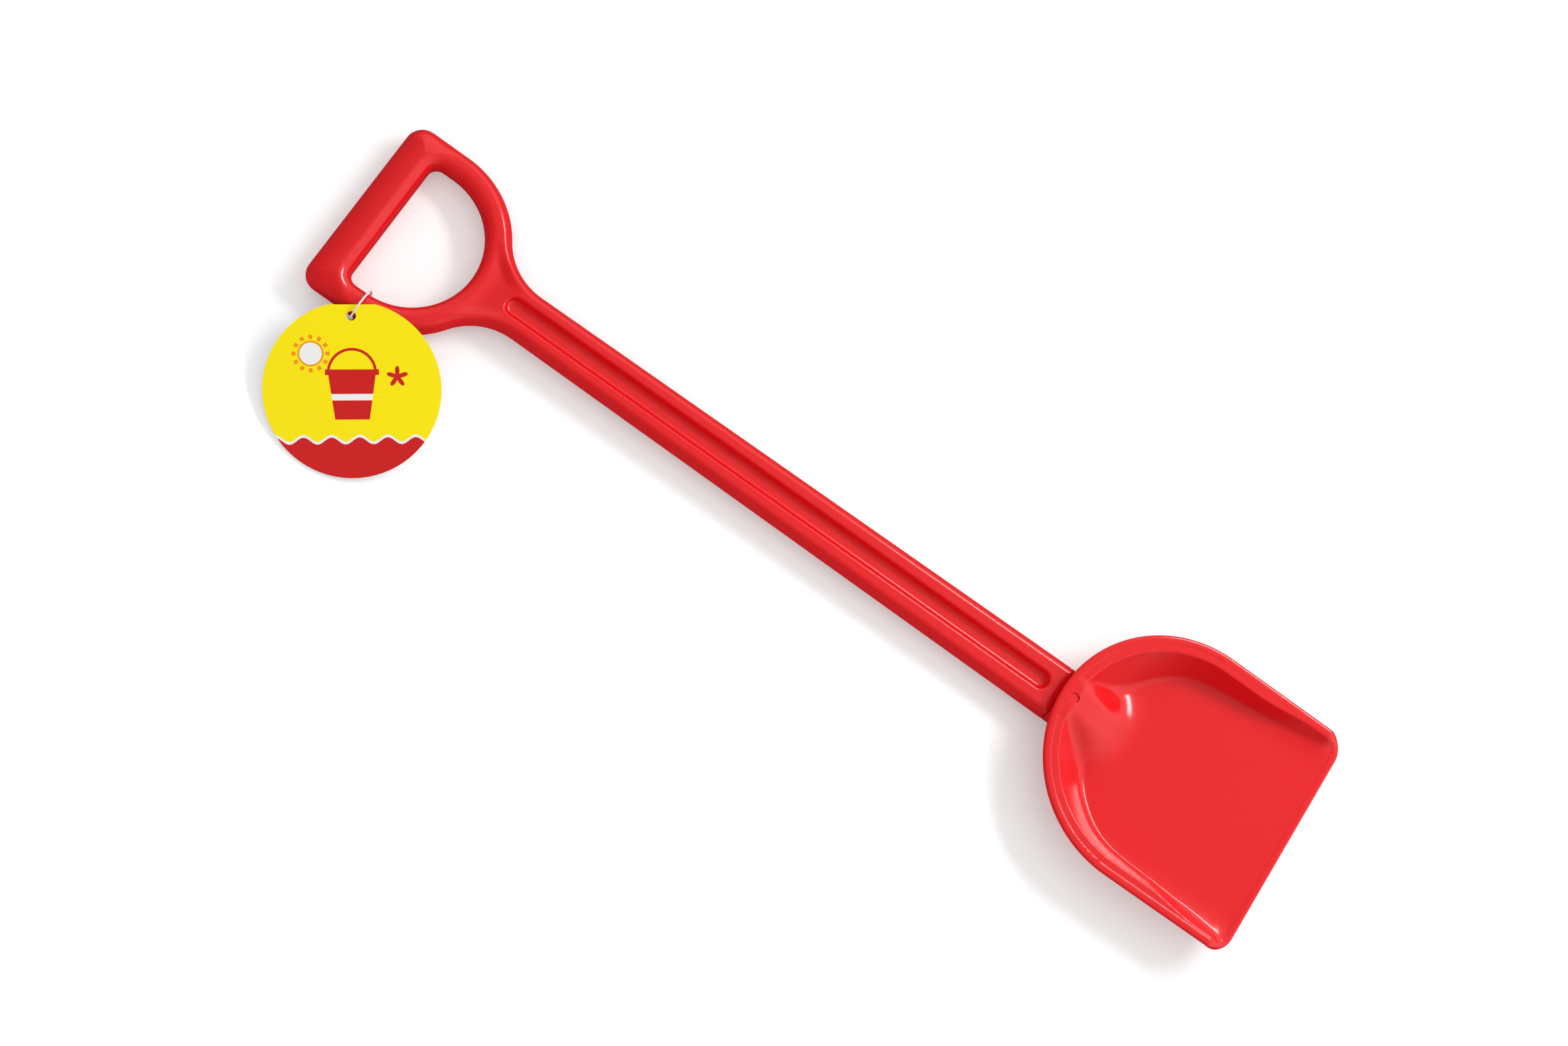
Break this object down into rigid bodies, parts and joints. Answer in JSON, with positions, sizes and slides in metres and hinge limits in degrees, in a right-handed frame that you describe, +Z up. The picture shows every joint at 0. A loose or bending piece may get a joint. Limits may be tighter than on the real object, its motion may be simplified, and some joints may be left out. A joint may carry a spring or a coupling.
{
  "type": "sand shovel",
  "caption": "Child's sand shovel with a D grip, a grooved shaft, a square-fronted scoop blade on a plugged-in joint, and a round card tag on a loop.",
  "frame": {"origin": "on the ground under the middle of the grip bar, in the flat strip of the bar's underside", "axes": "+X from the grip to the blade, +Z up out of the blade's hollow, +Y across; the shovel lies on its back"},
  "size_m": [0.5499, 0.1809, 0.023],
  "materials": {
    "red_plastic": "glossy moulded",
    "pin_plastic": "glossy moulded",
    "loop_plastic": "milky thread",
    "tag_board": "coated printed card"
  },
  "bodies": {
    "shovel": {"handle": "red_plastic", "blade": "red_plastic", "lock_pin": "pin_plastic"},
    "loop": {"tag_loop": "loop_plastic"},
    "tag": {"tag_card": "tag_board"}
  },
  "joints": [
    {"name": "loop_swing", "type": "hinge", "parent": "shovel", "child": "loop", "pos_m": [0.022, -0.0422, 0.009], "axis": [-1, 0, 0], "range_deg": [-90, 12]},
    {"name": "tag_swing", "type": "hinge", "parent": "loop", "child": "tag", "pos_m": [0.022, -0.04957, 0.0153], "axis": [0, -0.2107, 0.9775], "range_deg": [-35, 18]}
  ]
}
